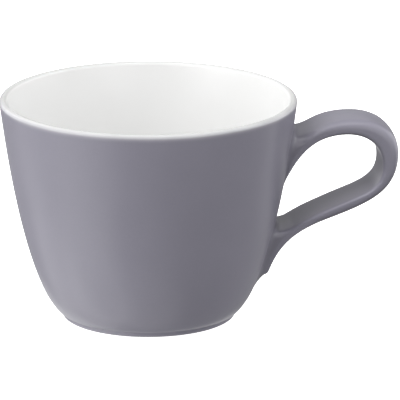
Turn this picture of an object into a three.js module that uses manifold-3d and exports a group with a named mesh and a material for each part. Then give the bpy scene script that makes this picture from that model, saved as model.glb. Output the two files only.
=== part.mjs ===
// Espresso cup with a strap handle. The cup and the strap are cast in porcelain, luted together with slip,
// and dipped in glaze: grey-mauve outside, white inside and over the lip, bare on the standing ring.
// Millimetres, +Z up. The handle points along +X, and the origin lies on the table, under the middle of the
// whole cup. Sizes are over the glaze, unless they say otherwise.

import * as THREE from 'three';
import { mergeVertices } from 'three/addons/utils/BufferGeometryUtils.js';
import Module from 'manifold-3d';

const wasm = await Module();
wasm.setup();

// Cup wall: leans are degrees off upright, and a pull is how far a curve keeps its direction
const CUP_HEIGHT = 49.4;
const RIM_RADIUS = 32.5;
const RIM_LEAN = 7.4;
const RIM_PULL = 12.4;
const HEEL_RADIUS = 22.65;
const HEEL_HEIGHT = 5.8;
const HEEL_LEAN = 26.3;
const HEEL_PULL = 11.8;
const HEEL_UNDER_PULL = 1.8;
const LIP_THICKNESS = 2.3;
const HEEL_THICKNESS = 3.4;
const FLOOR_HEIGHT = 4.8;
const FLOOR_FLAT_RADIUS = 9;

// Foot ring: the crease is where the heel's curve meets the foot
const CREASE_RADIUS = 19.1;
const CREASE_HEIGHT = 1.4;
const CREASE_LEAN = 64.5;
const CREASE_PULL = 0.9;
const STANDING_OUTER_RADIUS = 17.85;
const STANDING_INNER_RADIUS = 15.8;
const STANDING_EDGE = 0.25;
const RECESS_DEPTH = 1.7;
const RECESS_ROUNDING = 0.9;

// Glaze coats: they stop at the glaze line, so that the standing ring stays bare
const GLAZE = 0.35;
const GLAZE_LINE = 0.35;
const GLAZE_CLEARANCE = 0.3;
const SLEEVE_CLEARANCE = 0.02;

// Strap handle, seen from the side: heights over the table at the lower root and drops under the rim at the
// upper one, distances out from the wall at the upper root, slopes off level, and tilts of the section
const UPPER_ROOT_TOP_DROP = 9.6;
const UPPER_ROOT_TOP_SLOPE = 27.3;
const UPPER_ROOT_BOTTOM_DROP = 16.8;
const UPPER_ROOT_BOTTOM_SLOPE = 66;
const CROWN_OUT = 13.85;
const CROWN_DROP = 5.4;
const CROWN_THICKNESS = 4;
const CROWN_TILT = 25;
const LOOP_END_OUT = 24.05;
const LOOP_END_DROP = 13.35;
const LOOP_END_THICKNESS = 4.6;
const LOOP_END_TILT = 34.5;
const RUN_OUT = 12.4;
const RUN_HEIGHT = 24.6;
const RUN_SLOPE = 21.2;
const RUN_THICKNESS = 2.7;
const LOWER_ROOT_TOP_HEIGHT = 18.8;
const LOWER_ROOT_TOP_SLOPE = 27.2;
const TAIL_HEIGHT = 9.1;
const TAIL_SLOPE = 68.5;
const TAIL_THICKNESS = 0.55;
const TAIL_ROUNDING = 0.9;
const LOOP_FULLNESS = 0.405;
const TAIL_FULLNESS = 0.475;

// Strap section: a crowned bar with rounded edges, widest where it meets the wall
const STRAP_WIDTH = 12.6;
const ROOT_WIDTH = 13.4;
const SECTION_SQUARENESS = 3.6;

// Slip joints: a pad of slip between wall and strap, squeezed out into a fillet all round
const SLIP_THICKNESS = 0.9;
const SLIP_FILLET = 1.2;
const FILLET_WAIST = 0.35;
const SLIP_CLEARANCE = 0.15;
const ROOT_STAND_OFF = 0.5;

// Facets
const TURN_STEPS = 40;
const WALL_STEPS = 6;
const HEEL_STEPS = 4;
const LIP_STEP = 30;
const CORNER_STEPS = 4;
const SECTION_STEPS = 20;
const STRAP_STEPS = 6;
const CAP_SCALES = [2 / 3, 1 / 3];
const EQUAL_DIAGONAL = 1e-4;

const radians = THREE.MathUtils.degToRad;

function point(out, up) {
  return new THREE.Vector2(out, up);
}

function slope(degrees) {
  return point(Math.cos(radians(degrees)), Math.sin(radians(degrees)));
}

function along(start, direction, distance) {
  return start.clone().addScaledVector(direction, distance);
}

// Points of a curve that leaves its start and reaches its end along given directions
function blend(start, leaving, leavingPull, end, arriving, arrivingPull, steps) {
  const leaveControl = along(start, leaving, leavingPull);
  const arriveControl = along(end, arriving, -arrivingPull);
  return new THREE.CubicBezierCurve(start, leaveControl, arriveControl, end).getPoints(steps);
}

// Points of a circle's arc, every LIP_STEP degrees between its two ends
function arc(centre, radius, from, to) {
  const angles = [from];
  for (let angle = Math.ceil((from + 1) / LIP_STEP) * LIP_STEP; angle < to; angle += LIP_STEP) {
    angles.push(angle);
  }
  angles.push(to);
  return angles.map((angle) => along(centre, slope(angle), radius));
}

// Direction to the left of the way from one point to the next
function leftOf(from, to) {
  const way = to.clone().sub(from).normalize();
  return point(-way.y, way.x);
}

// Outline moved to its left by a distance that may change along it, with mitred corners
function moveLeft(outline, distanceAt) {
  const last = outline.length - 1;
  return outline.map((corner, i) => {
    const before = i > 0 ? leftOf(outline[i - 1], corner) : leftOf(corner, outline[1]);
    const after = i < last ? leftOf(corner, outline[i + 1]) : before;
    const mitre = before.clone().add(after);
    return along(corner, mitre, (2 * distanceAt(i)) / mitre.lengthSq());
  });
}

// Glazed outline of the cup in half section, from the glaze line up over the lip to the middle of the floor
const lipRadius = LIP_THICKNESS / 2;
const lipCentre = point(RIM_RADIUS - lipRadius, CUP_HEIGHT - lipRadius);
const rim = along(lipCentre, slope(-RIM_LEAN), lipRadius);
const heel = point(HEEL_RADIUS, HEEL_HEIGHT);
const crease = point(CREASE_RADIUS, CREASE_HEIGHT);
const toe = point(STANDING_OUTER_RADIUS + STANDING_EDGE + GLAZE, 0);
const heelDirection = slope(90 - HEEL_LEAN);
const rimDirection = slope(90 - RIM_LEAN);
const creaseDirection = slope(90 - CREASE_LEAN);

const footSide = [toe.clone().lerp(crease, GLAZE_LINE / CREASE_HEIGHT)];
const heelCurve = blend(
  crease,
  creaseDirection,
  CREASE_PULL,
  heel,
  heelDirection,
  HEEL_UNDER_PULL,
  HEEL_STEPS,
);
const wallCurve = blend(heel, heelDirection, HEEL_PULL, rim, rimDirection, RIM_PULL, WALL_STEPS);
const lip = arc(lipCentre, lipRadius, -RIM_LEAN, 180 - RIM_LEAN);

// The inside follows the wall at a thickness that grows from the lip to the heel, then rounds into the floor
const wallThickness = (i) => THREE.MathUtils.lerp(HEEL_THICKNESS, LIP_THICKNESS, i / WALL_STEPS);
const innerWall = moveLeft(wallCurve, wallThickness).slice(0, WALL_STEPS).reverse();
const innerHeel = innerWall[innerWall.length - 1];
const cornerDrop = (innerHeel.y - FLOOR_HEIGHT) / heelDirection.y;
const floorCorner = along(innerHeel, heelDirection, -cornerDrop);
const floorEdge = point(FLOOR_FLAT_RADIUS, FLOOR_HEIGHT);
const floorCurve = new THREE.QuadraticBezierCurve(innerHeel, floorCorner, floorEdge).getPoints(CORNER_STEPS);
const floorMiddle = point(0, FLOOR_HEIGHT);

const outside = [...footSide, ...heelCurve, ...wallCurve.slice(1, WALL_STEPS)];
const inside = [...innerWall, ...floorCurve.slice(1), floorMiddle];
const glazed = [...outside, ...lip, ...inside];
const bare = moveLeft(glazed, () => GLAZE);
const rimIndex = outside.length;

// Recess inside the foot ring, from the middle of the base out to the glaze line
const recessRadius = STANDING_INNER_RADIUS - STANDING_EDGE - GLAZE;
const recessCorner = point(recessRadius - RECESS_ROUNDING, RECESS_DEPTH - RECESS_ROUNDING);
const recessRound = arc(recessCorner, RECESS_ROUNDING, 0, 90).reverse();
const glazedRecess = [point(0, RECESS_DEPTH), ...recessRound, point(recessRadius, GLAZE_LINE)];
const bareRecess = moveLeft(glazedRecess, () => GLAZE);

const standingRing = [
  point(STANDING_INNER_RADIUS - STANDING_EDGE, STANDING_EDGE),
  point(STANDING_INNER_RADIUS, 0),
  point(STANDING_OUTER_RADIUS, 0),
  point(STANDING_OUTER_RADIUS + STANDING_EDGE, STANDING_EDGE),
];

// Turns a half section, which runs with the solid on its left, about the upright axis
function turn(profile) {
  return new THREE.LatheGeometry(profile, TURN_STEPS).rotateX(Math.PI / 2);
}

function cupBody() {
  return turn([...bareRecess, ...standingRing, ...bare]);
}

function innerGlaze() {
  return turn([...bare.slice(rimIndex).reverse(), ...glazed.slice(rimIndex)]);
}

function baseGlaze() {
  return turn([...glazedRecess, ...bareRecess.slice().reverse()]);
}

// Radius of the bare wall at a height
function bareRadius(height) {
  let i = 1;
  while (i < rimIndex && bare[i].y < height) {
    i += 1;
  }
  const share = (height - bare[i - 1].y) / (bare[i].y - bare[i - 1].y);
  return THREE.MathUtils.lerp(bare[i - 1].x, bare[i].x, share);
}

// Roots of the strap: heights of its outer and inner faces where they reach the wall
const upperRoot = { outer: CUP_HEIGHT - UPPER_ROOT_TOP_DROP, inner: CUP_HEIGHT - UPPER_ROOT_BOTTOM_DROP };
const lowerRoot = { outer: TAIL_HEIGHT, inner: LOWER_ROOT_TOP_HEIGHT };
const wallRadius = bareRadius((upperRoot.outer + upperRoot.inner) / 2) + GLAZE;

// Point that stands off the strap's seat
function standPoint(height, standOff) {
  return point(bareRadius(height) + SLIP_THICKNESS + standOff, height);
}

// The strap's two faces from the side: a chain of curves through crown, loop end and lower run
const crownAcross = slope(90 - CROWN_TILT);
const crownTop = point(wallRadius + CROWN_OUT, CUP_HEIGHT - CROWN_DROP);
const loopEndAcross = slope(LOOP_END_TILT);
const loopEndTip = point(wallRadius + LOOP_END_OUT, CUP_HEIGHT - LOOP_END_DROP);
const runAcross = slope(RUN_SLOPE - 90);
const runUnder = along(point(wallRadius + RUN_OUT, RUN_HEIGHT), runAcross, RUN_THICKNESS / 2);

function strapFace(depth, root, rootSlope, tail, tailSlope) {
  const stops = [
    { at: root, way: slope(rootSlope) },
    { at: along(crownTop, crownAcross, -depth * CROWN_THICKNESS), way: slope(0) },
    { at: along(loopEndTip, loopEndAcross, -depth * LOOP_END_THICKNESS), way: slope(-90) },
    { at: along(runUnder, runAcross, -depth * RUN_THICKNESS), way: slope(180 + RUN_SLOPE) },
    { at: tail, way: slope(180 + tailSlope) },
  ];
  const points = [root];
  for (let i = 1; i < stops.length; i += 1) {
    const from = stops[i - 1];
    const to = stops[i];
    const fullness = i < stops.length - 1 ? LOOP_FULLNESS : TAIL_FULLNESS;
    const pull = from.at.distanceTo(to.at) * fullness;
    points.push(...blend(from.at, from.way, pull, to.at, to.way, pull, STRAP_STEPS).slice(1));
  }
  return points;
}

const rootTop = standPoint(upperRoot.outer, ROOT_STAND_OFF);
const rootBottom = standPoint(upperRoot.inner, ROOT_STAND_OFF);
const tailTip = standPoint(lowerRoot.outer + TAIL_ROUNDING, TAIL_THICKNESS);
const tailTop = standPoint(lowerRoot.inner, ROOT_STAND_OFF);
const outerFace = strapFace(0, rootTop, UPPER_ROOT_TOP_SLOPE, tailTip, TAIL_SLOPE);
const innerFace = strapFace(1, rootBottom, UPPER_ROOT_BOTTOM_SLOPE, tailTop, LOWER_ROOT_TOP_SLOPE);

// Section of the strap, from -1 to 1 across its thickness (outer face at 1) and across its width
const section = Array.from({ length: SECTION_STEPS }, (_, i) => {
  const angle = (i / SECTION_STEPS) * 2 * Math.PI;
  const soften = (value) => Math.sign(value) * Math.abs(value) ** (2 / SECTION_SQUARENESS);
  return point(soften(Math.cos(angle)), soften(Math.sin(angle)));
});

// Ring of the section across the free strap, drawn in by an inset
function strapRing(i, inset) {
  const middle = outerFace[i].clone().add(innerFace[i]).divideScalar(2);
  const across = outerFace[i].clone().sub(middle);
  const halfThickness = across.length() - inset;
  const fromRoot = Math.min(1, Math.min(i, outerFace.length - 1 - i) / STRAP_STEPS);
  const halfWidth = THREE.MathUtils.lerp(ROOT_WIDTH, STRAP_WIDTH, fromRoot) / 2 - inset;
  across.normalize();
  return section.map((spot) => {
    const place = along(middle, across, spot.x * halfThickness);
    return new THREE.Vector3(place.x, spot.y * halfWidth, place.y);
  });
}

// Ring of the section on a surface that stands off the bare wall
function rootRing(root, standOff, inset, scale = 1) {
  const middle = (root.outer + root.inner) / 2;
  const halfHeight = Math.abs(root.outer - root.inner) / 2 - inset;
  const outerSign = Math.sign(root.outer - root.inner);
  return section.map((spot) => {
    const height = middle + outerSign * spot.x * halfHeight * scale;
    const side = spot.y * (ROOT_WIDTH / 2 - inset) * scale;
    const radius = bareRadius(height) + standOff;
    return new THREE.Vector3(Math.sqrt(radius ** 2 - side ** 2), side, height);
  });
}

// Rings of a pad's face, from its middle out to just inside its edge
function capRings(root, standOff, inset) {
  return [0, ...CAP_SCALES.slice().reverse()].map((scale) => rootRing(root, standOff, inset, scale));
}

// Skins a row of rings that runs along the strap; a closed row returns to its first ring. Four-sided facets
// are split along their shorter diagonal, or of two equal ones the one that starts nearer the cup's axis, so
// that pieces that share rings meet facet to facet.
function loft(rings, closed) {
  const corners = rings.flat();
  const index = [];
  const addFacet = (a, b, c) => {
    const sides = [[a, b], [b, c], [c, a]];
    if (sides.every(([from, to]) => corners[from].distanceTo(corners[to]) > 0)) {
      index.push(a, b, c);
    }
  };
  const diagonal = (from, to) => {
    const length = corners[from].distanceTo(corners[to]);
    return length + EQUAL_DIAGONAL * Math.min(corners[from].x, corners[to].x);
  };
  const lastRing = closed ? rings.length : rings.length - 1;
  for (let k = 0; k < lastRing; k += 1) {
    const ring = k * SECTION_STEPS;
    const nextRing = ((k + 1) % rings.length) * SECTION_STEPS;
    for (let i = 0; i < SECTION_STEPS; i += 1) {
      const j = (i + 1) % SECTION_STEPS;
      const [a, b, c, d] = [ring + i, nextRing + i, nextRing + j, ring + j];
      if (diagonal(a, c) < diagonal(b, d)) {
        addFacet(a, b, c);
        addFacet(a, c, d);
      } else {
        addFacet(a, b, d);
        addFacet(b, c, d);
      }
    }
  }
  const geometry = new THREE.BufferGeometry();
  geometry.setFromPoints(corners);
  geometry.setIndex(index);
  geometry.computeVertexNormals();
  return geometry;
}

// The slip pad's rings from the wall out to the strap's seat
function filletRings(root, inset) {
  const waistStandOff = (SLIP_CLEARANCE + SLIP_THICKNESS) / 2;
  return [
    rootRing(root, SLIP_CLEARANCE, inset - SLIP_FILLET),
    rootRing(root, waistStandOff, inset - SLIP_FILLET * FILLET_WAIST),
    rootRing(root, SLIP_THICKNESS, inset),
  ];
}

function freeRings(inset) {
  return outerFace.map((_, i) => strapRing(i, inset));
}

function handle() {
  const upperCap = capRings(upperRoot, SLIP_THICKNESS, GLAZE);
  const lowerCap = capRings(lowerRoot, SLIP_THICKNESS, GLAZE).reverse();
  const upperSeat = rootRing(upperRoot, SLIP_THICKNESS, GLAZE);
  const lowerSeat = rootRing(lowerRoot, SLIP_THICKNESS, GLAZE);
  return loft([...upperCap, upperSeat, ...freeRings(GLAZE), lowerSeat, ...lowerCap], false);
}

function slipJoint(root) {
  const wallCap = capRings(root, SLIP_CLEARANCE, GLAZE - SLIP_FILLET);
  const seatCap = capRings(root, SLIP_THICKNESS, GLAZE).reverse();
  const rings = [...wallCap, ...filletRings(root, GLAZE), ...seatCap];
  return loft(root === upperRoot ? rings : rings.reverse(), false);
}

function handleGlaze() {
  const sleeve = (inset) => [
    ...filletRings(upperRoot, inset),
    ...freeRings(inset),
    ...filletRings(lowerRoot, inset).reverse(),
  ];
  return loft([...sleeve(0), ...sleeve(GLAZE - SLEEVE_CLEARANCE).reverse()], true);
}

// Joins and cuts
function solidOf(geometry) {
  const shared = geometry.clone();
  shared.deleteAttribute('normal');
  shared.deleteAttribute('uv');
  const merged = mergeVertices(shared);
  return new wasm.Manifold(new wasm.Mesh({
    numProp: 3,
    vertProperties: new Float32Array(merged.attributes.position.array),
    triVerts: new Uint32Array(merged.index.array),
  }));
}

function geometryOf(solid) {
  const mesh = solid.getMesh();
  const geometry = new THREE.BufferGeometry();
  geometry.setAttribute('position', new THREE.Float32BufferAttribute(mesh.vertProperties, 3));
  geometry.setIndex(Array.from(mesh.triVerts));
  geometry.computeVertexNormals();
  return geometry;
}

// Plug that runs level through the coat at a root, a clearance wider than the fillet
function rootPlug(root) {
  const outline = rootRing(root, SLIP_CLEARANCE, -SLIP_FILLET - GLAZE_CLEARANCE);
  const middle = new THREE.Vector3(0, 0, (root.outer + root.inner) / 2);
  const slice = (out, scale) => outline.map((corner) => {
    const spot = corner.clone().sub(middle).multiplyScalar(scale).add(middle);
    return spot.setX(out);
  });
  const inner = bareRadius(Math.min(root.outer, root.inner) - SLIP_FILLET) / 2;
  const outer = RIM_RADIUS + LIP_THICKNESS;
  const slices = [slice(inner, 0), slice(inner, 1), slice(outer, 1), slice(outer, 0)];
  return solidOf(loft(root === upperRoot ? slices : slices.reverse(), false));
}

// The coloured coat leaves the roots free, because the strap is luted to the bare wall before glazing
function outerGlaze() {
  const coat = [...glazed.slice(0, rimIndex + 1), ...bare.slice(0, rimIndex + 1).reverse(), glazed[0]];
  const cut = solidOf(turn(coat)).subtract(rootPlug(upperRoot)).subtract(rootPlug(lowerRoot));
  return geometryOf(cut);
}

const porcelain = new THREE.MeshStandardMaterial({ color: 0xe9e4da, roughness: 0.75, metalness: 0 });
const slip = new THREE.MeshStandardMaterial({ color: 0xdcd6cb, roughness: 0.8, metalness: 0 });
const whiteGlaze = new THREE.MeshStandardMaterial({ color: 0xf4f4f3, roughness: 0.12, metalness: 0 });
const mauveGlaze = new THREE.MeshStandardMaterial({ color: 0x7f7d89, roughness: 0.3, metalness: 0 });

function piece(name, geometry, material) {
  const mesh = new THREE.Mesh(geometry, material);
  mesh.name = name;
  return mesh;
}

const cup = new THREE.Group();
cup.add(
  piece('cup_body', cupBody(), porcelain),
  piece('handle', handle(), porcelain),
  piece('upper_slip_joint', slipJoint(upperRoot), slip),
  piece('lower_slip_joint', slipJoint(lowerRoot), slip),
  piece('inner_glaze', innerGlaze(), whiteGlaze),
  piece('outer_glaze', outerGlaze(), mauveGlaze),
  piece('handle_glaze', handleGlaze(), mauveGlaze),
  piece('base_glaze', baseGlaze(), whiteGlaze),
);
cup.position.x = (RIM_RADIUS - wallRadius - LOOP_END_OUT) / 2;

const group = new THREE.Group();
group.add(cup);

export default group;
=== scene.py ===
import math

import bmesh
import bpy
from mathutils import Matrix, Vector


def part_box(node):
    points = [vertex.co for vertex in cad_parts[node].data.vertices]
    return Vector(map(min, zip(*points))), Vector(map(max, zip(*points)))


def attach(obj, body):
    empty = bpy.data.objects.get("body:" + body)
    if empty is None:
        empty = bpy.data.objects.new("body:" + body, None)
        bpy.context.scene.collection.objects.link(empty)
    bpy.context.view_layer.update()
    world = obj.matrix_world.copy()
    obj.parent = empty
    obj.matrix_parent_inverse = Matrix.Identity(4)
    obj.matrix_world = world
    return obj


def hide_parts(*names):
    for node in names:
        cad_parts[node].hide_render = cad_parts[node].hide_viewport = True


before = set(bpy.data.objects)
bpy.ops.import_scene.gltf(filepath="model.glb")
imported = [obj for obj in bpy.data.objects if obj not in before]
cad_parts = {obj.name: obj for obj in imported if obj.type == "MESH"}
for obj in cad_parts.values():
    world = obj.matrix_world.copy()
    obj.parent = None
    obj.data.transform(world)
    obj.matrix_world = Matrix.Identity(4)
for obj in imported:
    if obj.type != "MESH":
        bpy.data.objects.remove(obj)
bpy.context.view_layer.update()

# Cup casting: wall, floor and foot ring of white porcelain, slip-cast in one piece in a plaster mould and turned
# true on a wheel. It is glazed all over, and only the standing ring that it is fired on stays bare.
MM = 0.001
CUP_HEIGHT = 49.15
RIM_RADIUS = 32.5
RIM_LEAN = 7.4
RIM_PULL = 12.4
HEEL_RADIUS = 22.72
HEEL_HEIGHT = 5.8
HEEL_LEAN = 26.3
HEEL_PULL = 11.8
HEEL_UNDER_PULL = 1.8
LIP_THICKNESS = 1.7
HEEL_THICKNESS = 3.4
FLOOR_HEIGHT = 4.8
FLOOR_FLAT_RADIUS = 9
CREASE_RADIUS = 19.1
CREASE_HEIGHT = 1.24
CREASE_LEAN = 64.5
CREASE_PULL = 0.95
CREASE_ROUNDING = 0.35
TOE_RADIUS = 18.1
TOE_ROUNDING = 1.0
TOE_LIFT = 0.05
TOE_FIRST, TOE_LAST = -95, -9
STANDING_OUTER_RADIUS = 17.6
STANDING_INNER_RADIUS = 15.8
STANDING_EDGE = 0.25
RECESS_DEPTH = 1.7
RECESS_ROUNDING = 0.9
GLAZE = 0.35
GLAZE_LINE = 0.35
TOE_STEPS, CREASE_STEPS, HEEL_STEPS, WALL_STEPS, LIP_STEPS = 18, 10, 24, 90, 28
FLOOR_STEPS, FLAT_STEPS, RECESS_STEPS, STANDING_EDGE_STEPS = 36, 6, 10, 6
STEPS_ROUND = 256
SHARP_ANGLE = 50
WELD = 0.001
BARE_PORCELAIN = (0.80, 0.765, 0.70)

body_low, body_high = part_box("cup_body")
AXIS_X = (body_low.x + body_high.x) / 2


def away(start, degrees, distance):
    angle = math.radians(degrees)
    return (start[0] + distance * math.cos(angle), start[1] + distance * math.sin(angle))


def between(start, end, share):
    return tuple(a + (b - a) * share for a, b in zip(start, end))


def along_bezier(corners, share):
    while len(corners) > 1:
        corners = [between(a, b, share) for a, b in zip(corners, corners[1:])]
    return corners[0]


def bezier(corners, steps):
    return [along_bezier(corners, i / steps) for i in range(steps + 1)]


def bend(start, leaving, leave_pull, end, arriving, arrive_pull, steps):
    return bezier([start, away(start, leaving, leave_pull), away(end, arriving, -arrive_pull), end], steps)


def arc(centre, radius, first, last, steps):
    return [away(centre, first + (last - first) * i / steps, radius) for i in range(steps + 1)]


def move_left(outline, distance_at):
    moved = []
    for i, spot in enumerate(outline):
        before = outline[max(i - 1, 0)]
        after = outline[min(i + 1, len(outline) - 1)]
        length = math.dist(before, after)
        left = ((before[1] - after[1]) / length, (after[0] - before[0]) / length)
        moved.append((spot[0] + left[0] * distance_at(i), spot[1] + left[1] * distance_at(i)))
    return moved


# Half section over the glaze, from the glaze line on the foot up over the lip to the middle of the floor
lip_radius = LIP_THICKNESS / 2
lip_centre = (RIM_RADIUS - lip_radius, CUP_HEIGHT - lip_radius)
rim = away(lip_centre, -RIM_LEAN, lip_radius)
heel = (HEEL_RADIUS, HEEL_HEIGHT)
crease = (CREASE_RADIUS, CREASE_HEIGHT)
toe_centre = (TOE_RADIUS, TOE_LIFT + TOE_ROUNDING)
toe = arc(toe_centre, TOE_ROUNDING, TOE_FIRST, TOE_LAST, TOE_STEPS)
heel_start = away(crease, 90 - CREASE_LEAN, CREASE_ROUNDING)
heel_curve = bend(heel_start, 90 - CREASE_LEAN, CREASE_PULL, heel, 90 - HEEL_LEAN, HEEL_UNDER_PULL, HEEL_STEPS)
wall_curve = bend(heel, 90 - HEEL_LEAN, HEEL_PULL, rim, 90 - RIM_LEAN, RIM_PULL, WALL_STEPS)
lip = arc(lip_centre, lip_radius, -RIM_LEAN, 180 - RIM_LEAN, LIP_STEPS)


def wall_thickness(i):
    return HEEL_THICKNESS + (LIP_THICKNESS - HEEL_THICKNESS) * i / WALL_STEPS


inner_wall = move_left(wall_curve, wall_thickness)[-2::-1]
inner_heel = inner_wall[-1]
corner_drop = (inner_heel[1] - FLOOR_HEIGHT) / math.cos(math.radians(HEEL_LEAN))
floor_corner = away(inner_heel, 90 - HEEL_LEAN, -corner_drop)
floor_curve = bezier([inner_heel, floor_corner, (FLOOR_FLAT_RADIUS, FLOOR_HEIGHT)], FLOOR_STEPS)
floor_flat = [(FLOOR_FLAT_RADIUS * (1 - i / FLAT_STEPS), FLOOR_HEIGHT) for i in range(1, FLAT_STEPS + 1)]
crease_curve = bezier([toe[-1], crease, heel_start], CREASE_STEPS)
outside = toe + crease_curve[1:] + heel_curve[1:] + wall_curve[1:-1]
glazed = outside + lip + inner_wall + floor_curve[1:] + floor_flat
bare = move_left(glazed, lambda i: GLAZE)
bare[-1] = (0, bare[-1][1])
crest_index = len(outside) + len(lip) // 2

# Recess inside the foot ring, and the ring itself with its edges rubbed round
recess_radius = STANDING_INNER_RADIUS - STANDING_EDGE - GLAZE
recess_corner = (recess_radius - RECESS_ROUNDING, RECESS_DEPTH - RECESS_ROUNDING)
recess_flat = [(recess_corner[0] * i / FLAT_STEPS, RECESS_DEPTH) for i in range(FLAT_STEPS)]
recess_round = arc(recess_corner, RECESS_ROUNDING, 90, 0, RECESS_STEPS)
glazed_recess = recess_flat + recess_round + [(recess_radius, GLAZE_LINE)]
bare_recess = move_left(glazed_recess, lambda i: GLAZE)
bare_recess[0] = (0, bare_recess[0][1])
inner_edge = arc((STANDING_INNER_RADIUS, STANDING_EDGE), STANDING_EDGE, 180, 270, STANDING_EDGE_STEPS)
outer_edge = arc((STANDING_OUTER_RADIUS, STANDING_EDGE), STANDING_EDGE, 270, 360, STANDING_EDGE_STEPS)
standing_ring = inner_edge + outer_edge

# Turning: each point of a half section, given in order with the solid on its left, is carried round the axis
turned_tree = bpy.data.node_groups.new("turned_on_the_wheel", "GeometryNodeTree")
turned_tree.is_modifier = True
turned_inputs = {}
for label, kind in (
    ("Half Section", "NodeSocketGeometry"),
    ("Steps Round", "NodeSocketInt"),
    ("Axis", "NodeSocketVector"),
    ("Sharp Angle", "NodeSocketFloat"),
    ("Finish", "NodeSocketMaterial"),
):
    turned_inputs[label] = turned_tree.interface.new_socket(label, in_out="INPUT", socket_type=kind).identifier
turned_tree.interface.new_socket("Turned Piece", in_out="OUTPUT", socket_type="NodeSocketGeometry")


def node_in(tree, kind, inputs=None, **settings):
    node = tree.nodes.new(kind)
    for name, value in settings.items():
        setattr(node, name, value)
    for socket, value in (inputs or {}).items():
        if isinstance(value, bpy.types.NodeSocket):
            tree.links.new(value, node.inputs[socket])
        else:
            node.inputs[socket].default_value = value
    return node


t = turned_tree
given = node_in(t, "NodeGroupInput").outputs
points = node_in(t, "GeometryNodeAttributeDomainSize", {"Geometry": given["Half Section"]}).outputs["Point Count"]
columns = node_in(t, "ShaderNodeMath", {0: given["Steps Round"], 1: 1.0}, operation="ADD").outputs[0]
sheet = node_in(t, "GeometryNodeMeshGrid", {"Vertices X": columns, "Vertices Y": points}).outputs["Mesh"]
index = node_in(t, "GeometryNodeInputIndex").outputs[0]
share = node_in(t, "ShaderNodeMath", {0: index, 1: points}, operation="DIVIDE").outputs[0]
column = node_in(t, "ShaderNodeMath", {0: share}, operation="FLOOR").outputs[0]
row = node_in(t, "ShaderNodeMath", {0: index, 1: points}, operation="MODULO").outputs[0]
place = node_in(t, "GeometryNodeInputPosition").outputs[0]
spot = node_in(t, "GeometryNodeSampleIndex", {"Geometry": given["Half Section"], "Value": place, "Index": row},
               data_type="FLOAT_VECTOR").outputs["Value"]
turns = node_in(t, "ShaderNodeMath", {0: column, 1: given["Steps Round"]}, operation="DIVIDE").outputs[0]
angle = node_in(t, "ShaderNodeMath", {0: turns, 1: 2 * math.pi}, operation="MULTIPLY").outputs[0]
carried = node_in(t, "ShaderNodeVectorRotate", {"Vector": spot, "Angle": angle}, rotation_type="Z_AXIS").outputs[0]
placed = node_in(t, "ShaderNodeVectorMath", {0: carried, 1: given["Axis"]}, operation="ADD").outputs[0]
skin = node_in(t, "GeometryNodeSetPosition", {"Geometry": sheet, "Position": placed}).outputs[0]
closed = node_in(t, "GeometryNodeMergeByDistance", {"Geometry": skin, "Distance": WELD * MM}).outputs[0]
smooth = node_in(t, "GeometryNodeSetShadeSmooth", {"Geometry": closed}, domain="FACE").outputs[0]
edge_angle = node_in(t, "GeometryNodeInputMeshEdgeAngle").outputs["Unsigned Angle"]
is_sharp = node_in(t, "FunctionNodeCompare", {"A": edge_angle, "B": given["Sharp Angle"]},
                   operation="GREATER_THAN").outputs[0]
crease_sockets = {"Geometry": smooth, "Selection": is_sharp, "Shade Smooth": False}
creased = node_in(t, "GeometryNodeSetShadeSmooth", crease_sockets, domain="EDGE").outputs[0]
real = node_in(t, "GeometryNodeRealizeInstances", {"Geometry": creased}).outputs[0]
finished = node_in(t, "GeometryNodeSetMaterial", {"Geometry": real, "Material": given["Finish"]}).outputs[0]
node_in(t, "NodeGroupOutput", {0: finished})


def add_object(name, mesh):
    piece = bpy.data.objects.new(name, mesh)
    bpy.context.scene.collection.objects.link(piece)
    return piece


def turned(name, half_section, finish):
    wire = bpy.data.meshes.new(name)
    wire.from_pydata([(r * MM, 0, z * MM) for r, z in half_section], [], [])
    blank = add_object(name + ".blank", wire)
    wheel = blank.modifiers.new("wheel", "NODES")
    wheel.node_group = turned_tree
    wheel[turned_inputs["Steps Round"]] = STEPS_ROUND
    wheel[turned_inputs["Axis"]] = (AXIS_X, 0, 0)
    wheel[turned_inputs["Sharp Angle"]] = math.radians(SHARP_ANGLE)
    wheel[turned_inputs["Finish"]] = finish
    shaped = blank.evaluated_get(bpy.context.evaluated_depsgraph_get())
    piece = add_object(name, bpy.data.meshes.new_from_object(shaped))
    bpy.data.objects.remove(blank)
    bpy.data.meshes.remove(wire)
    return piece


def stand_for(piece, node):
    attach(piece, "root")
    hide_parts(node)


def new_finish(name, **sockets):
    finish = bpy.data.materials.new(name)
    finish.use_nodes = True
    shader = finish.node_tree.nodes["Principled BSDF"]
    for socket, value in sockets.items():
        shader.inputs[socket.replace("_", " ")].default_value = value
    return finish, finish.node_tree, shader


def noise_in(tree, coordinates, scale, detail, roughness=0.5):
    sockets = {"Vector": coordinates, "Scale": scale, "Detail": detail, "Roughness": roughness}
    return node_in(tree, "ShaderNodeTexNoise", sockets).outputs["Fac"]


def spread(tree, value, low, high, from_low=0.2, from_high=0.8):
    sockets = {"Value": value, "From Min": from_low, "From Max": from_high, "To Min": low, "To Max": high}
    return node_in(tree, "ShaderNodeMapRange", sockets).outputs["Result"]


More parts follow.
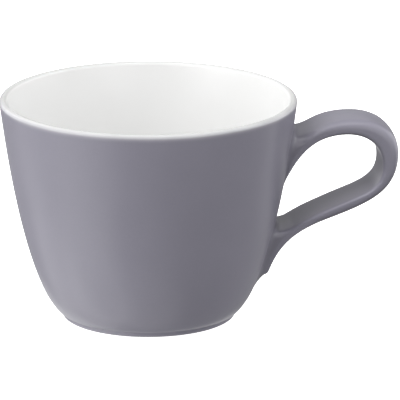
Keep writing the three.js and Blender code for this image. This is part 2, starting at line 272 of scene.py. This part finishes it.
bare_porcelain, tree, shader = new_finish("bare_porcelain", Roughness=0.62, IOR=1.5)
own = node_in(tree, "ShaderNodeTexCoord").outputs["Object"]
grain = noise_in(tree, own, scale=2600, detail=4)
smudge = noise_in(tree, own, scale=140, detail=3)
grain_tone, smudge_tone = spread(tree, grain, low=0.95, high=1.04), spread(tree, smudge, low=0.94, high=1.03)
tone = node_in(tree, "ShaderNodeMath", {0: grain_tone, 1: smudge_tone}, operation="MULTIPLY").outputs[0]
tinted = node_in(tree, "ShaderNodeVectorMath", {0: BARE_PORCELAIN, "Scale": tone}, operation="SCALE").outputs[0]
tree.links.new(tinted, shader.inputs["Base Color"])
tooth = node_in(tree, "ShaderNodeBump", {"Strength": 0.5, "Distance": 0.02 * MM, "Height": grain}).outputs[0]
tree.links.new(tooth, shader.inputs["Normal"])

cup_casting = turned("turned_cup_casting", bare_recess + standing_ring + bare, bare_porcelain)
stand_for(cup_casting, "cup_body")

# Strap casting: a looped strap of the same porcelain, slip-cast in a two-part mould, its edges sponged round. Its
# two ends are cut to the cup's wall, where they are luted on.
UPPER_ROOT_TOP = 40.13
UPPER_ROOT_TOP_SLOPE = 28.7
UPPER_ROOT_BOTTOM = 32.27
UPPER_ROOT_BOTTOM_SLOPE = 62.2
UPPER_TOP_STAND_OFF = 1.05
UPPER_BOTTOM_STAND_OFF = 0.1
CROWN_OUT = 13.85
CROWN_DROP = 4.99
CROWN_THICKNESS = 4.02
CROWN_TILT = 25
LOOP_END_OUT = 24.05
LOOP_END_DROP = 13.1
LOOP_END_THICKNESS = 4.75
LOOP_END_TILT = 34.7
RUN_OUT = 12.4
RUN_HEIGHT = 24.54
RUN_SLOPE = 21.5
RUN_THICKNESS = 2.81
LOWER_ROOT_TOP = 18.8
LOWER_ROOT_TOP_SLOPE = 29.4
LOWER_TOP_STAND_OFF = 1.05
TAIL_HEIGHT = 9.62
TAIL_SLOPE = 73
TAIL_STAND_OFF = 1.05
TAIL_ROUNDING = 0.7
CROWN_FULLNESS = 0.411
LOOP_FULLNESS = 0.419
RUN_FULLNESS = 0.424
TAIL_FULLNESS = 0.413
STRAP_WIDTH = 12.6
ROOT_WIDTH = 13.4
OUTER_ROUNDING = 2.1
INNER_ROUNDING = 1.1
EDGE_FLAT = 0.05
FACE_CROWN = 0.25
FACE_STEPS, EDGE_STEPS, SIDE_STEPS = 14, 8, 4
RINGS_PER_CURVE = 96
STRAP_STEPS = 150
ROOT_STEPS, ROOT_STRIDE = 70, 0.1
TAIL_STEPS, TAIL_BURIED = 24, 1.2
CURVE_STRIDE = 0.001
SAMPLE_HALF_THICKNESS, SAMPLE_HALF_WIDTH = 4, 6


def wall_radius(height):
    for low, high in zip(outside, outside[1:] + lip[:1]):
        if low[1] <= height <= high[1]:
            return low[0] + (high[0] - low[0]) * (height - low[1]) / (high[1] - low[1])
    raise ValueError("the wall does not reach this height")


def off_wall(height, stand_off):
    return (wall_radius(height) + stand_off, height)


handle_wall = (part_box("handle_glaze")[1].x - AXIS_X) / MM - LOOP_END_OUT
crown = (handle_wall + CROWN_OUT, CUP_HEIGHT - CROWN_DROP)
loop_end = (handle_wall + LOOP_END_OUT, CUP_HEIGHT - LOOP_END_DROP)
run = away((handle_wall + RUN_OUT, RUN_HEIGHT), RUN_SLOPE - 90, RUN_THICKNESS / 2)


def strap_face(depth, root, root_slope, tail, tail_slope):
    stops = [
        (root, root_slope),
        (away(crown, 90 - CROWN_TILT, -depth * CROWN_THICKNESS), 0),
        (away(loop_end, LOOP_END_TILT, -depth * LOOP_END_THICKNESS), -90),
        (away(run, RUN_SLOPE - 90, -depth * RUN_THICKNESS), 180 + RUN_SLOPE),
        (tail, 180 + tail_slope),
    ]
    curves = []
    fullnesses = (CROWN_FULLNESS, LOOP_FULLNESS, RUN_FULLNESS, TAIL_FULLNESS)
    for (start, leaving), (end, arriving), fullness in zip(stops, stops[1:], fullnesses):
        pull = fullness * math.dist(start, end)
        curves.append([start, away(start, leaving, pull), away(end, arriving, -pull), end])
    return curves


outer_face = strap_face(0, off_wall(UPPER_ROOT_TOP, UPPER_TOP_STAND_OFF), UPPER_ROOT_TOP_SLOPE,
                        off_wall(TAIL_HEIGHT, TAIL_STAND_OFF), TAIL_SLOPE)
inner_face = strap_face(1, off_wall(UPPER_ROOT_BOTTOM, UPPER_BOTTOM_STAND_OFF), UPPER_ROOT_BOTTOM_SLOPE,
                        off_wall(LOWER_ROOT_TOP, LOWER_TOP_STAND_OFF), LOWER_ROOT_TOP_SLOPE)


# Section of the strap: slightly crowned faces and round edges, from the outer face's middle round to it again
def half_face(half_thickness, half_width, rounding):
    tilt = math.atan2(2 * FACE_CROWN, half_width - rounding)
    edge_across = half_thickness - FACE_CROWN - rounding * math.cos(tilt)
    edge_aside = half_width - rounding
    face_aside = edge_aside + rounding * math.sin(tilt)
    spots = []
    for i in range(FACE_STEPS // 2):
        aside = face_aside * i / (FACE_STEPS // 2)
        spots.append((half_thickness - FACE_CROWN * (aside / face_aside) ** 2, aside))
    for i in range(EDGE_STEPS + 1):
        turn = tilt + (math.pi / 2 - tilt) * i / EDGE_STEPS
        spots.append((edge_across + rounding * math.cos(turn), edge_aside + rounding * math.sin(turn)))
    return spots


def strap_section(half_thickness, half_width, outer_rounding, inner_rounding):
    outer = half_face(half_thickness, half_width, outer_rounding)
    inner = [(-across, aside) for across, aside in half_face(half_thickness, half_width, inner_rounding)]
    side = [between(outer[-1], inner[-1], i / SIDE_STEPS) for i in range(1, SIDE_STEPS)]
    half = outer + side + inner[::-1]
    return half + [(across, -aside) for across, aside in half[-2:0:-1]]


sample_section = strap_section(SAMPLE_HALF_THICKNESS, SAMPLE_HALF_WIDTH, OUTER_ROUNDING, INNER_ROUNDING)
RAILS = len(sample_section)
FACING_OUT = [across / SAMPLE_HALF_THICKNESS for across, aside in sample_section]


# A face moves square to itself for the coat's thickness, because the rings lie oblique to it at the roots
def beside(curve, share, distance):
    spot, ahead = along_bezier(curve, share), along_bezier(curve, share + CURVE_STRIDE)
    stride = math.dist(spot, ahead)
    return (spot[0] - distance * (ahead[1] - spot[1]) / stride, spot[1] + distance * (ahead[0] - spot[0]) / stride)


def strap_ring(way, inset):
    curve = min(int(way), len(outer_face) - 1)
    outer = beside(outer_face[curve], way - curve, -inset)
    inner = beside(inner_face[curve], way - curve, inset)
    middle = between(outer, inner, 0.5)
    half_thickness = math.dist(outer, inner) / 2
    across = ((outer[0] - middle[0]) / half_thickness, (outer[1] - middle[1]) / half_thickness)
    from_root = min(1, way, len(outer_face) - way)
    widening = 0.5 + 0.5 * math.cos(math.pi * from_root)
    half_width = (STRAP_WIDTH + (ROOT_WIDTH - STRAP_WIDTH) * widening) / 2
    room = 2 * (half_thickness + inset - FACE_CROWN) - EDGE_FLAT
    fit = min(1, room / (OUTER_ROUNDING + INNER_ROUNDING))
    section = strap_section(half_thickness, half_width - inset, OUTER_ROUNDING * fit - inset,
                            INNER_ROUNDING * fit - inset)
    return [Vector((middle[0] + across[0] * a, b, middle[1] + across[1] * a)) for a, b in section]


def on_wall(spot, lift, inset):
    grow = (wall_radius(spot.z) - inset + lift) / math.hypot(spot.x, spot.y)
    return Vector((spot.x * grow, spot.y * grow, spot.z))


# The rails of the strap run along it and on into the wall: straight on at the upper root, and round the blunt end
# of the tail at the lower one
def strap_rails(inset):
    last = len(outer_face) * RINGS_PER_CURVE
    rings = [strap_ring(i / RINGS_PER_CURVE, inset) for i in range(last + 1)]
    rails = []
    for j in range(RAILS):
        rail = [ring[j] for ring in rings]
        back = (rail[0] - rail[1]).normalized()
        ahead = (rail[-1] - rail[-2]).normalized()
        corner = rail[-1] + ahead * (TAIL_ROUNDING - inset)
        buried = on_wall(corner, -TAIL_BURIED, inset)
        start = [rail[0] + back * (ROOT_STRIDE * k) for k in range(ROOT_STEPS, 0, -1)]
        end = bezier([tuple(rail[-1]), tuple(corner), tuple(buried)], TAIL_STEPS)[1:]
        rails.append(start + rail + [Vector(p) for p in end])
    return rails


# Reach of a fillet on the wall and on the strap, and how far it is drawn into the corner between them
UPPER_FILLET = {"outer": (3.4, 6.0, 0.8), "side": (2.4, 3.0, 0.8), "inner": (1.0, 1.4, 1.0)}
LOWER_FILLET = {"outer": (2.8, 1.0, 0.4), "side": (2.2, 2.6, 0.8), "inner": (3.0, 5.0, 0.8)}
FILLET_STEPS = 12
NEAR_WALL = 200
WALL_PROBE = 0.1
TUCK_REACH, TUCK_DEPTH = 0.3, 0.05


# Where a rail meets the wall, a fillet leads from it out on to the wall's face; its foot is tucked under that face
def fillet_rails(rails, sizes, inset):
    hits = []
    for rail in rails:
        clear = [math.hypot(p.x, p.y) - wall_radius(p.z) + inset for p in rail[:NEAR_WALL]]
        i = next(k for k, gap in enumerate(clear) if gap > 0)
        share = -clear[i - 1] / (clear[i] - clear[i - 1])
        hits.append((rail[i - 1].lerp(rail[i], share), i))
    centre = sum((hit for hit, i in hits), Vector()) / RAILS
    fillets = []
    for j, (hit, i) in enumerate(hits):
        toward = sizes["outer" if FACING_OUT[j] > 0 else "inner"]
        on_face, on_strap, drawn_in = between(sizes["side"], toward, abs(FACING_OUT[j]))
        here = hit
        while (rails[j][i] - here).length < on_strap:
            on_strap -= (rails[j][i] - here).length
            here = rails[j][i]
            i += 1
        leaves = here + (rails[j][i] - here).normalized() * on_strap
        steepness = (wall_radius(hit.z + WALL_PROBE) - wall_radius(hit.z - WALL_PROBE)) / (2 * WALL_PROBE)
        wall_faces = Vector((hit.x, hit.y, -steepness * math.hypot(hit.x, hit.y))).normalized()
        outward = (hits[(j + 1) % RAILS][0] - hits[j - 1][0]).cross(wall_faces).normalized()
        if outward.dot(hit - centre) < 0:
            outward.negate()
        foot = on_wall(hit + outward * on_face, 0, inset)
        tucked = on_wall(hit + outward * (on_face + TUCK_REACH), -TUCK_DEPTH, inset)
        bow = foot.lerp(leaves, 0.5).lerp(hit, drawn_in)
        curve = bezier([tuple(foot), tuple(bow), tuple(leaves)], FILLET_STEPS)
        fillets.append(([tucked] + [Vector(p) for p in curve], i))
    return fillets


# Rows of points from the upper root to the lower one: slip fillet, strap, slip fillet
def strap_rows(inset):
    rails = strap_rails(inset)
    upper = fillet_rails(rails, UPPER_FILLET, inset)
    lower = fillet_rails([rail[::-1] for rail in rails], LOWER_FILLET, inset)
    columns = []
    for rail, (start, first), (end, from_end) in zip(rails, upper, lower):
        last = len(rail) - 1 - from_end
        free = []
        for k in range(1, STRAP_STEPS):
            at = first + (last - first) * k / STRAP_STEPS
            free.append(rail[int(at)].lerp(rail[min(int(at) + 1, len(rail) - 1)], at - int(at)))
        columns.append(start + free + end[::-1])
    return [list(row) for row in zip(*columns)]


def skinned(name, rows, finish, ring_closed=False):
    shape = bmesh.new()
    grid = [[shape.verts.new(((p.x * MM) + AXIS_X, p.y * MM, p.z * MM)) for p in row] for row in rows]
    pairs = list(zip(grid, grid[1:])) + ([(grid[-1], grid[0])] if ring_closed else [])
    for row, next_row in pairs:
        for j in range(len(row)):
            shape.faces.new((row[j - 1], row[j], next_row[j], next_row[j - 1]))
    if not ring_closed:
        for row in (grid[0], grid[-1]):
            middle = shape.verts.new(sum((v.co for v in row), Vector()) / len(row))
            for j in range(len(row)):
                shape.faces.new((row[j - 1], row[j], middle))
    bmesh.ops.recalc_face_normals(shape, faces=shape.faces)
    mesh = bpy.data.meshes.new(name)
    shape.to_mesh(mesh)
    shape.free()
    mesh.shade_smooth()
    mesh.materials.append(finish)
    return add_object(name, mesh)


FILLET_ROWS = FILLET_STEPS + 1
casting_rows = strap_rows(GLAZE)
strap_casting = skinned("strap_casting", casting_rows[FILLET_ROWS:-FILLET_ROWS], bare_porcelain)
stand_for(strap_casting, "handle")

# Luting slip: the two pads of wet slip that fix the strap's ends to the wall. They are squeezed out all round,
# wiped to a small fillet, and fire hard with the rest.
SLIP_COLOUR = (0.74, 0.705, 0.635)
luting_slip, tree, shader = new_finish("luting_slip", Roughness=0.8, IOR=1.5)
own = node_in(tree, "ShaderNodeTexCoord").outputs["Object"]
lumps = noise_in(tree, own, scale=900, detail=5, roughness=0.6)
tone = spread(tree, lumps, low=0.92, high=1.05)
tinted = node_in(tree, "ShaderNodeVectorMath", {0: SLIP_COLOUR, "Scale": tone}, operation="SCALE").outputs[0]
tree.links.new(tinted, shader.inputs["Base Color"])
smears = node_in(tree, "ShaderNodeBump", {"Strength": 0.6, "Distance": 0.05 * MM, "Height": lumps}).outputs[0]
tree.links.new(smears, shader.inputs["Normal"])

upper_slip = skinned("upper_luting_slip", casting_rows[:FILLET_ROWS + 1], luting_slip)
stand_for(upper_slip, "upper_slip_joint")
lower_slip = skinned("lower_luting_slip", casting_rows[-FILLET_ROWS - 1:], luting_slip)
stand_for(lower_slip, "lower_slip_joint")

# White glaze: a glossy coat, poured into the cup and swilled up over the lip. It ends in the colour line on the
# lip's crest, where the mauve coat meets it.
WHITE = (0.75, 0.75, 0.746)
LIP_TONE = 0.74
LIP_TONE_START, LIP_TONE_FULL = CUP_HEIGHT - 0.55, CUP_HEIGHT - 0.05


# The white is painted darker towards the lip's crest: painted shade that holds the brightly lit round crest down
def white_over_lip(tree, own, flow):
    height = node_in(tree, "ShaderNodeSeparateXYZ", {0: own}).outputs["Z"]
    tone_with_painted_light = spread(tree, height, 1, LIP_TONE, LIP_TONE_START * MM, LIP_TONE_FULL * MM)
    flow_tone = spread(tree, flow, low=0.985, high=1.01)
    tone = node_in(tree, "ShaderNodeMath", {0: flow_tone, 1: tone_with_painted_light}, operation="MULTIPLY").outputs[0]
    return node_in(tree, "ShaderNodeVectorMath", {0: WHITE, "Scale": tone}, operation="SCALE").outputs[0]


white_glaze, tree, shader = new_finish("glossy_white_glaze", IOR=1.5)
own = node_in(tree, "ShaderNodeTexCoord").outputs["Object"]
flow = noise_in(tree, own, scale=70, detail=3)
tree.links.new(white_over_lip(tree, own, flow), shader.inputs["Base Color"])
tree.links.new(spread(tree, flow, low=0.19, high=0.25), shader.inputs["Roughness"])
ripple = noise_in(tree, own, scale=260, detail=2)
peel = node_in(tree, "ShaderNodeBump", {"Strength": 0.12, "Distance": 0.04 * MM, "Height": ripple}).outputs[0]
tree.links.new(peel, shader.inputs["Normal"])

inside_glaze = turned("white_inside_glaze", bare[:crest_index - 1:-1] + glazed[crest_index:], white_glaze)
stand_for(inside_glaze, "inner_glaze")

# Mauve glaze: a satin grey-mauve coat on the outside, sprayed from the lip's crest, where it fades into the white,
# down to the foot. It runs out in a thin round edge above the standing ring, and is paler where it lies thin near
# the colour line. On the strap its tone also carries painted highlight and painted shade.
MAUVE = (0.2, 0.193, 0.235)
COLOUR_LINE = CUP_HEIGHT
FADE = 1.9
FADE_POWER = 2.5
WHITE_ROUGHNESS = 0.22
GLAZE_TAPER = 0.5
WAVER = 0.1
EDGE_TONE = 0.55


def coat_share(distance):
    return math.sqrt(1 - (1 - min(distance / GLAZE_TAPER, 1)) ** 2)


mauve_glaze, tree, shader = new_finish("satin_mauve_glaze", IOR=1.5)
own = node_in(tree, "ShaderNodeTexCoord").outputs["Object"]
clouds = noise_in(tree, own, scale=80, detail=3)
specks = noise_in(tree, own, scale=1700, detail=2)
cloud_tone, speck_tone = spread(tree, clouds, low=0.97, high=1.03), spread(tree, specks, low=0.985, high=1.015)
mottled = node_in(tree, "ShaderNodeMath", {0: cloud_tone, 1: speck_tone}, operation="MULTIPLY").outputs[0]
# Strap edge tone: paler on edges facing up, darker on edges facing down and in the fillets; partly glaze
# thickness, partly painted highlight and painted shade
coat_and_light_share = node_in(tree, "ShaderNodeAttribute", attribute_name="coat_and_painted_light").outputs["Fac"]
coat_and_light_tone = spread(tree, coat_and_light_share, 1 - EDGE_TONE, 1 + EDGE_TONE, from_low=-1, from_high=1)
tone = node_in(tree, "ShaderNodeMath", {0: mottled, 1: coat_and_light_tone}, operation="MULTIPLY").outputs[0]
tinted = node_in(tree, "ShaderNodeVectorMath", {0: MAUVE, "Scale": tone}, operation="SCALE").outputs[0]
height = node_in(tree, "ShaderNodeSeparateXYZ", {0: own}).outputs["Z"]
waver = spread(tree, clouds, -WAVER * MM, WAVER * MM)
line_height = node_in(tree, "ShaderNodeMath", {0: waver, 1: height}, operation="ADD").outputs[0]
fade_sockets = {"Value": line_height, "From Min": (COLOUR_LINE - FADE) * MM, "From Max": COLOUR_LINE * MM}
faded = node_in(tree, "ShaderNodeMapRange", fade_sockets).outputs["Result"]
fade = node_in(tree, "ShaderNodeMath", {0: faded, 1: FADE_POWER}, operation="POWER").outputs[0]
white = white_over_lip(tree, own, clouds)
coloured = node_in(tree, "ShaderNodeMix", {"Factor": fade, 6: tinted, 7: white}, data_type="RGBA").outputs[2]
tree.links.new(coloured, shader.inputs["Base Color"])
satin = spread(tree, clouds, low=0.29, high=0.34)
roughness = node_in(tree, "ShaderNodeMix", {"Factor": fade, 2: satin, 3: WHITE_ROUGHNESS}).outputs[0]
tree.links.new(roughness, shader.inputs["Roughness"])
ripple = noise_in(tree, own, scale=600, detail=2)
peel = node_in(tree, "ShaderNodeBump", {"Strength": 0.15, "Distance": 0.02 * MM, "Height": ripple}).outputs[0]
tree.links.new(peel, shader.inputs["Normal"])

wall_coat = [between(bare[i], spot, coat_share(math.dist(glazed[0], spot)))
             for i, spot in enumerate(glazed[:crest_index + 1])]
wall_glaze = turned("mauve_wall_glaze", wall_coat + bare[crest_index::-1], mauve_glaze)
stand_for(wall_glaze, "outer_glaze")

# Strap glaze: the same mauve coat over the strap and its slip fillets, which it carries smoothly on to the wall.
# Its tone is painted paler over edges that face up, most over the tight inner ones, and darker along edges that
# face
# down and in the fillets: partly glaze that runs thin on edges and gathers in the fillets, partly painted
# highlight on the upper edges and painted shade on the lower edges and in the fillets.
# How strongly the strap's edges and fillets are painted lighter and darker: painted highlight and painted shade,
# partly standing for the glaze's thickness
POOLED_AND_SHADED_IN_FILLET = 0.5
EDGE_GAIN = 1.6
PALEST_ON_OUTER_EDGE = 0.25
PALEST_ON_INNER_EDGE = 1
CASTING_GAP = 0.02
FULL_ON_EDGE = 0.64


def edge_share(spot):
    corner = (SAMPLE_HALF_THICKNESS - FACE_CROWN, SAMPLE_HALF_WIDTH)
    rounding = OUTER_ROUNDING if spot[0] > 0 else INNER_ROUNDING
    near = max(0, 1 - math.dist((abs(spot[0]), abs(spot[1])), corner) / rounding)
    return near * near * (3 - 2 * near) / FULL_ON_EDGE


on_edge = [edge_share(spot) for spot in sample_section]
palest_on_edge = [PALEST_ON_OUTER_EDGE if spot[0] > 0 else PALEST_ON_INNER_EDGE for spot in sample_section]
coat_rows = strap_rows(0)
strap_glaze = skinned("mauve_strap_glaze", coat_rows + strap_rows(GLAZE - CASTING_GAP)[::-1], mauve_glaze, True)
coat_and_painted_light = strap_glaze.data.attributes.new("coat_and_painted_light", "FLOAT", "POINT")
for k in range(len(coat_rows)):
    from_end = min(k, len(coat_rows) - 1 - k)
    in_fillet = math.sin(math.pi * min(from_end / FILLET_ROWS, 1))
    on_strap = min(from_end / FILLET_ROWS / 2, 1)
    for j in range(RAILS):
        # Paler where the edge faces up, a painted highlight along with thin glaze; darker where it faces down and
        # in the fillets, painted shade along with pooled glaze
        facing_up = strap_glaze.data.vertices[k * RAILS + j].normal.z
        tone_with_painted_light = max(-1, min(palest_on_edge[j], EDGE_GAIN * facing_up)) * on_edge[j] * on_strap
        coat_and_painted_light.data[k * RAILS + j].value = tone_with_painted_light - POOLED_AND_SHADED_IN_FILLET * in_fillet
stand_for(strap_glaze, "handle_glaze")

# Recess glaze: the white coat again, under the floor inside the foot ring. It is wiped off the ring before firing,
# so that the cup does not stick to the kiln shelf, and runs out in the same thin round edge.
recess_coat = [between(bare_recess[i], spot, coat_share(math.dist(glazed_recess[-1], spot)))
               for i, spot in enumerate(glazed_recess)]
recess_glaze = turned("white_recess_glaze", recess_coat + bare_recess[::-1], white_glaze)
stand_for(recess_glaze, "base_glaze")

# Studio: a plain white table, soft boxes all around, the strongest on the left, and cards below that throw back
# what a bright table would. The table shows to the camera only: it takes no shadow and does not light the cup.
TABLE_REACH = 6
WORLD_STRENGTH = 0.32
LAMP_DISTANCE = 1.0
LAMP_SIZE = 0.9
SMALL_LAMP_SIZE = 0.45
bpy.context.scene.view_settings.view_transform = "Standard"
table_finish, tree, shader = new_finish("white_table", Base_Color=(0.8, 0.8, 0.8, 1), Roughness=0.9,
                                        Emission_Color=(1, 1, 1, 1), Emission_Strength=1)
table_mesh = bpy.data.meshes.new("table")
corners = [(TABLE_REACH * x, TABLE_REACH * y, 0) for x, y in ((-1, -1), (1, -1), (1, 1), (-1, 1))]
table_mesh.from_pydata(corners, [], [(0, 1, 2, 3)])
table_mesh.materials.append(table_finish)
table = add_object("table", table_mesh)
table.visible_diffuse = False
table.visible_glossy = False
table.visible_transmission = False
table.visible_shadow = False

world = bpy.data.worlds.new("studio")
world.use_nodes = True
world.node_tree.nodes["Background"].inputs["Color"].default_value = (1, 1, 1, 1)
world.node_tree.nodes["Background"].inputs["Strength"].default_value = WORLD_STRENGTH
bpy.context.scene.world = world


def seen_from(azimuth, elevation):
    a, e = math.radians(azimuth), math.radians(elevation)
    return Vector((math.sin(a) * math.cos(e), -math.cos(a) * math.cos(e), math.sin(e)))


def soft_light(name, azimuth, elevation, size, power):
    lamp = bpy.data.lights.new(name, "AREA")
    lamp.shape = "DISK"
    lamp.size = size
    lamp.energy = power
    light = bpy.data.objects.new(name, lamp)
    aim = Vector((AXIS_X, 0, CUP_HEIGHT * MM / 2))
    light.location = aim + seen_from(azimuth, elevation) * LAMP_DISTANCE
    light.rotation_euler = seen_from(azimuth, elevation).to_track_quat("Z", "Y").to_euler()
    bpy.context.scene.collection.objects.link(light)


for name, azimuth, elevation, size, power in (
    ("left_softbox", -78, 12, LAMP_SIZE, 3.4),
    ("left_front_softbox", -60, 12, LAMP_SIZE, 1.9),
    ("upper_left_softbox", -60, 42, LAMP_SIZE, 3.5),
    ("top_softbox", -60, 75, LAMP_SIZE, 3.4),
    ("small_top_light", 30, 65, SMALL_LAMP_SIZE, 1.3),
    ("front_right_softbox", 32, 15, LAMP_SIZE, 2.6),
    ("right_softbox", 95, 15, LAMP_SIZE, 2.9),
    ("back_right_softbox", 116, 0, LAMP_SIZE, 1.6),
    ("upper_right_softbox", 80, 45, LAMP_SIZE, 2.4),
    ("back_softbox", 180, 40, LAMP_SIZE, 0.8),
    ("back_left_softbox", -135, 10, LAMP_SIZE, 2.7),
    ("upper_back_left_softbox", -135, 45, LAMP_SIZE, 1.8),
    ("low_left_card", -60, -25, LAMP_SIZE, 1.5),
    ("low_back_left_card", -110, -25, LAMP_SIZE, 0.95),
    ("under_left_card", -75, -50, LAMP_SIZE, 1.9),
    ("under_back_left_card", -118, -48, LAMP_SIZE, 1.45),
    ("under_back_card", 180, -45, LAMP_SIZE, 1.6),
    ("under_front_card", -10, -68, LAMP_SIZE, 1.2),
):
    soft_light(name, azimuth, elevation, size, power)

# Camera: a long lens that looks down a little past the rim, with the handle turned slightly away from it. It is
# aimed at the middle of the cup and handle, so that the frame needs no shift.
CAMERA_AZIMUTH = -7
CAMERA_ELEVATION = 15.6
CAMERA_DISTANCE = 1.5
PIXELS_PER_MM = 4.563
FRAME_PIXELS = 400
SENSOR_WIDTH = 36
CAMERA_AIM = Vector((0.000214, 0, 0.02553))
VIEW_DEPTH = 20
lens = bpy.data.cameras.new("camera")
lens.sensor_width = SENSOR_WIDTH
lens.lens = SENSOR_WIDTH * PIXELS_PER_MM * CAMERA_DISTANCE / MM / FRAME_PIXELS
lens.clip_end = VIEW_DEPTH
camera = bpy.data.objects.new("camera", lens)
facing = seen_from(CAMERA_AZIMUTH, CAMERA_ELEVATION)
camera.location = CAMERA_AIM + facing * CAMERA_DISTANCE
camera.rotation_euler = facing.to_track_quat("Z", "Y").to_euler()
bpy.context.scene.collection.objects.link(camera)
bpy.context.scene.camera = camera
